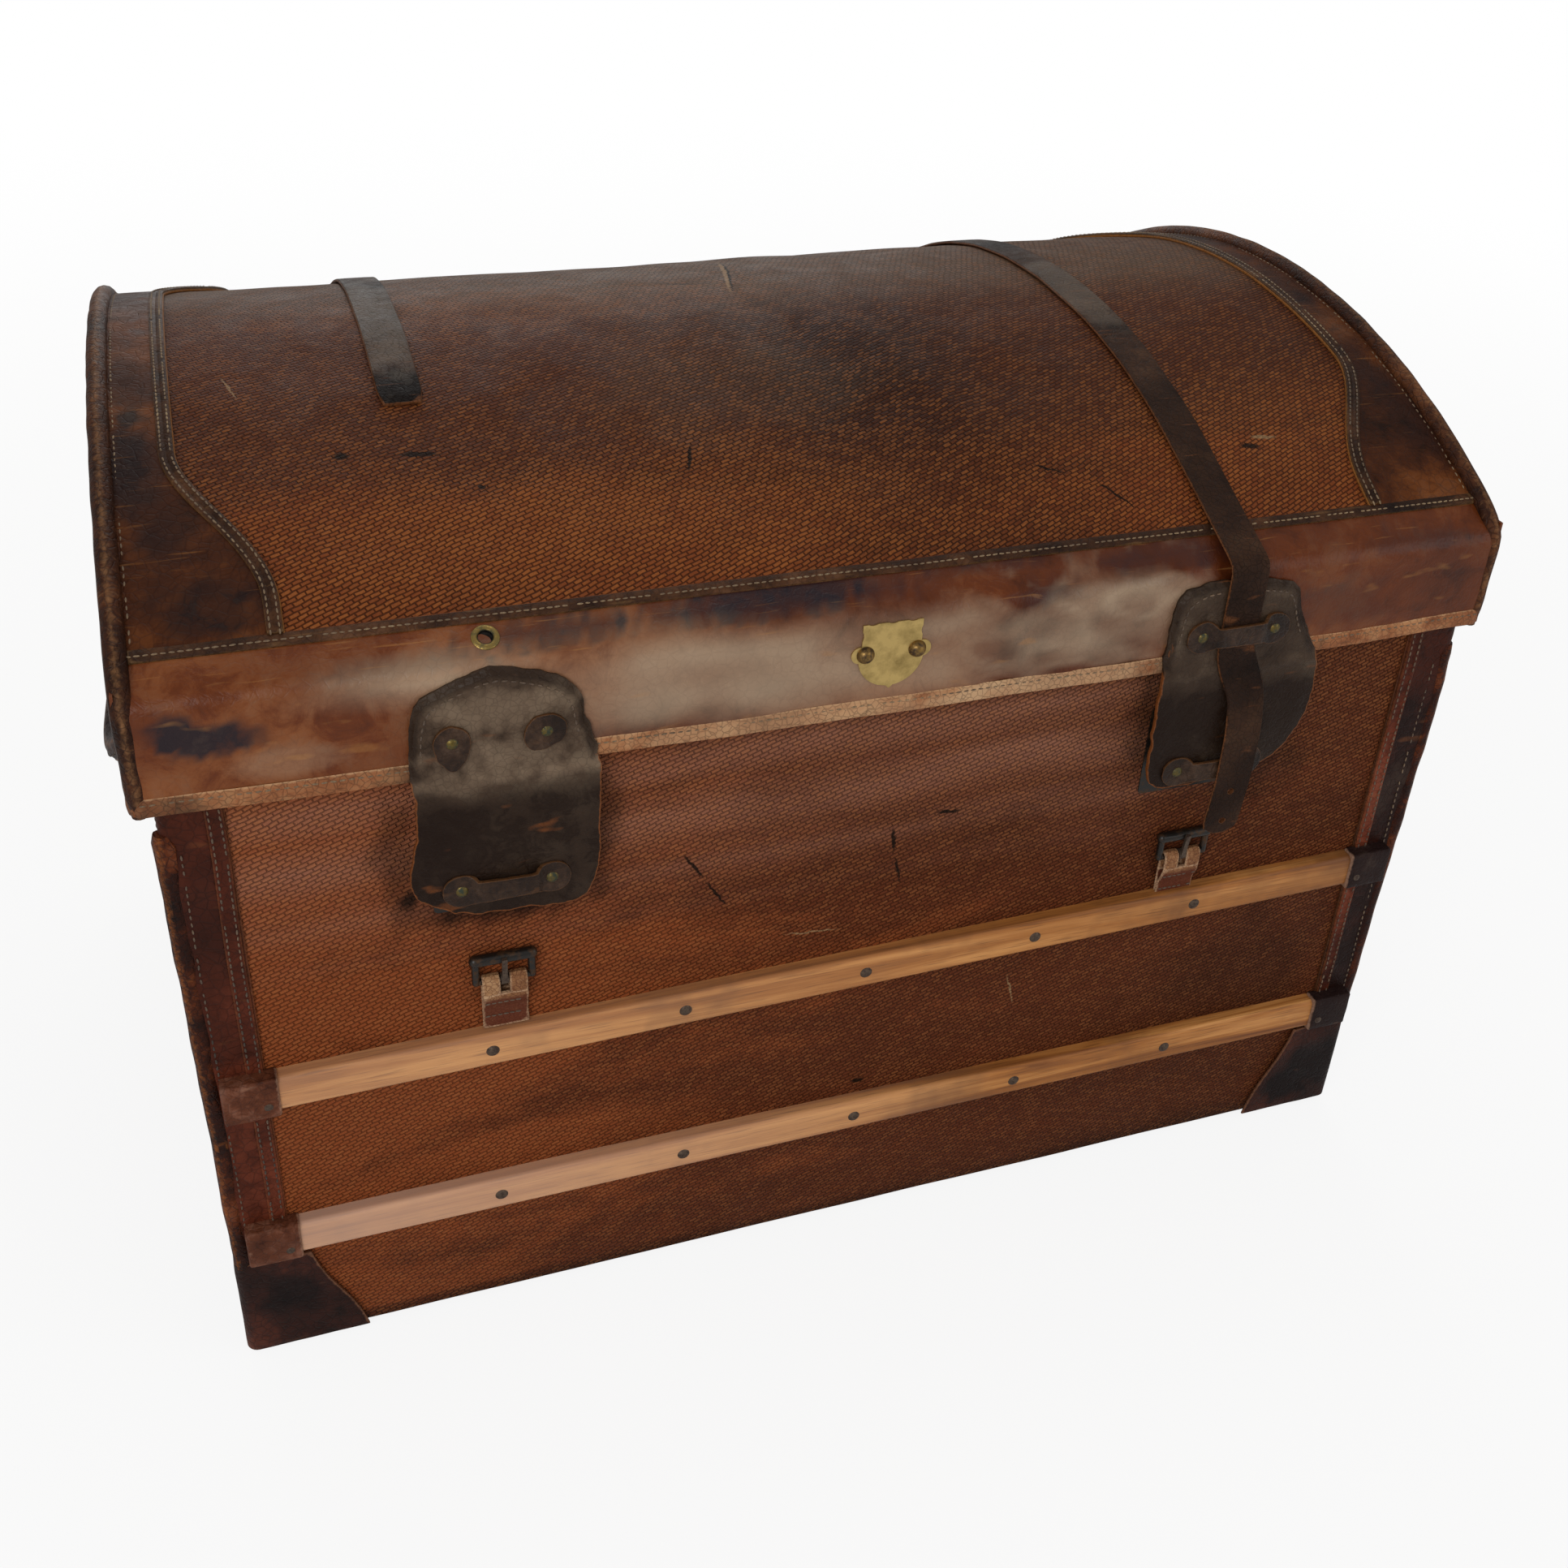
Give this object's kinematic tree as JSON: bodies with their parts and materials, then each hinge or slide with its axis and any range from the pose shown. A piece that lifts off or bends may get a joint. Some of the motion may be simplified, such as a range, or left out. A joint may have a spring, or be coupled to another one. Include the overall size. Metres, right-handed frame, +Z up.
{
  "type": "suitcase",
  "caption": "Dome-topped travelling trunk in canvas-covered wicker, bound in leather, with wooden battens, buckled straps, fall flaps over its locks and a hinged lid",
  "frame": {"origin": "on the floor, in the middle of the body's plan, under the middle slat", "axes": "+X along the front towards its right end as seen from the front, -Y out of the front, +Z up"},
  "size_m": [0.9906, 0.6441, 0.656],
  "materials": {
    "wicker": "matte",
    "painted_canvas": "satin",
    "linen_lining": "matte",
    "brown_leather": "satin",
    "dark_leather": "satin",
    "batten_wood": "satin",
    "black_iron": "gloss",
    "nail_iron": "satin",
    "aged_brass": "satin"
  },
  "bodies": {
    "trunk_body": {"wicker_body": "wicker", "body_canvas": "painted_canvas", "body_lining": "linen_lining", "neck_binding": "brown_leather", "corner_leathers": "brown_leather", "corner_rolls": "dark_leather", "corner_welts": "brown_leather", "bottom_corner_caps": "dark_leather", "lower_front_batten": "batten_wood", "upper_front_batten": "batten_wood", "lower_back_batten": "batten_wood", "upper_back_batten": "batten_wood", "bottom_slats": "batten_wood", "batten_nails": "nail_iron", "batten_pockets": "brown_leather", "pocket_rivets": "nail_iron", "lock_plates": "black_iron", "lock_cases": "black_iron", "front_buckle_chapes": "brown_leather", "handle_mounts": "black_iron", "handle_pins": "nail_iron", "hinge_body_leaves": "black_iron", "hinge_pins": "nail_iron"},
    "lid": {"wicker_lid": "wicker", "lid_canvas": "painted_canvas", "lid_lining": "linen_lining", "lid_skirt": "brown_leather", "lid_binding": "brown_leather", "lid_rims": "dark_leather", "lid_end_leathers": "brown_leather", "lid_end_welts": "dark_leather", "seam_welts": "brown_leather", "hinge_lid_leaves": "black_iron", "flap_upper_parts": "dark_leather", "flap_loops_upper": "dark_leather", "flap_rivets": "aged_brass", "right_strap": "dark_leather", "left_strap_stub": "dark_leather", "lock_tongues": "black_iron", "brass_shield": "aged_brass", "shield_studs": "nail_iron", "brass_eyelet": "aged_brass", "lid_end_chapes": "brown_leather"},
    "left_front_buckle": {"left_buckle_frame": "black_iron"},
    "left_front_prong": {"left_buckle_prong": "nail_iron"},
    "right_front_buckle": {"right_buckle_frame": "black_iron"},
    "right_front_prong": {"right_buckle_prong": "nail_iron"},
    "left_grip": {"left_handle": "dark_leather"},
    "right_grip": {"right_handle": "dark_leather"},
    "left_fall": {"left_flap": "dark_leather", "left_flap_loop": "dark_leather", "left_flap_rivets": "aged_brass"},
    "right_fall": {"right_flap": "dark_leather", "right_flap_loop": "dark_leather", "right_flap_rivets": "aged_brass"},
    "strap_tail": {"right_strap_tail": "dark_leather"},
    "left_lid_buckle": {"left_end_buckle": "black_iron"},
    "left_lid_prong": {"left_end_prong": "nail_iron"},
    "right_lid_buckle": {"right_end_buckle": "black_iron"},
    "right_lid_prong": {"right_end_prong": "nail_iron"}
  },
  "joints": [
    {"name": "lid_opening", "type": "hinge", "parent": "trunk_body", "child": "lid", "pos_m": [0, 0.31, 0.478], "axis": [-1, 0, 0], "range_deg": [0, 100]},
    {"name": "left_flap_lift", "type": "hinge", "parent": "lid", "child": "left_fall", "pos_m": [-0.252, -0.318, 0.481], "axis": [-1, 0, 0], "range_deg": [0, 150]},
    {"name": "right_flap_lift", "type": "hinge", "parent": "lid", "child": "right_fall", "pos_m": [0.249, -0.318, 0.481], "axis": [-1, 0, 0], "range_deg": [0, 90]},
    {"name": "strap_tail_lift", "type": "hinge", "parent": "right_fall", "child": "strap_tail", "pos_m": [0.249, -0.3213, 0.4806], "axis": [-1, 0, 0], "range_deg": [0, 60]},
    {"name": "left_buckle_fold", "type": "hinge", "parent": "trunk_body", "child": "left_front_buckle", "pos_m": [-0.255, -0.30405, 0.312], "axis": [1, 0, 0], "range_deg": [0, 80]},
    {"name": "left_prong_lift", "type": "hinge", "parent": "left_front_buckle", "child": "left_front_prong", "pos_m": [-0.255, -0.30405, 0.312], "axis": [1, 0, 0], "range_deg": [0, 30]},
    {"name": "right_buckle_fold", "type": "hinge", "parent": "trunk_body", "child": "right_front_buckle", "pos_m": [0.249, -0.30405, 0.312], "axis": [1, 0, 0], "range_deg": [0, 80]},
    {"name": "right_prong_lift", "type": "hinge", "parent": "right_front_buckle", "child": "right_front_prong", "pos_m": [0.249, -0.30405, 0.312], "axis": [1, 0, 0], "range_deg": [0, 30]},
    {"name": "left_handle_lift", "type": "hinge", "parent": "trunk_body", "child": "left_grip", "pos_m": [-0.461, 0, 0.408], "axis": [0, 1, 0], "range_deg": [0, 110]},
    {"name": "right_handle_lift", "type": "hinge", "parent": "trunk_body", "child": "right_grip", "pos_m": [0.461, 0, 0.408], "axis": [0, -1, 0], "range_deg": [0, 110]},
    {"name": "left_end_buckle_lift", "type": "hinge", "parent": "lid", "child": "left_lid_buckle", "pos_m": [-0.46405, 0, 0.558], "axis": [0, 1, 0], "range_deg": [0, 80]},
    {"name": "left_end_prong_lift", "type": "hinge", "parent": "left_lid_buckle", "child": "left_lid_prong", "pos_m": [-0.46405, 0, 0.558], "axis": [0, 1, 0], "range_deg": [0, 30]},
    {"name": "right_end_buckle_lift", "type": "hinge", "parent": "lid", "child": "right_lid_buckle", "pos_m": [0.46405, 0, 0.558], "axis": [0, -1, 0], "range_deg": [0, 80]},
    {"name": "right_end_prong_lift", "type": "hinge", "parent": "right_lid_buckle", "child": "right_lid_prong", "pos_m": [0.46405, 0, 0.558], "axis": [0, -1, 0], "range_deg": [0, 30]}
  ]
}
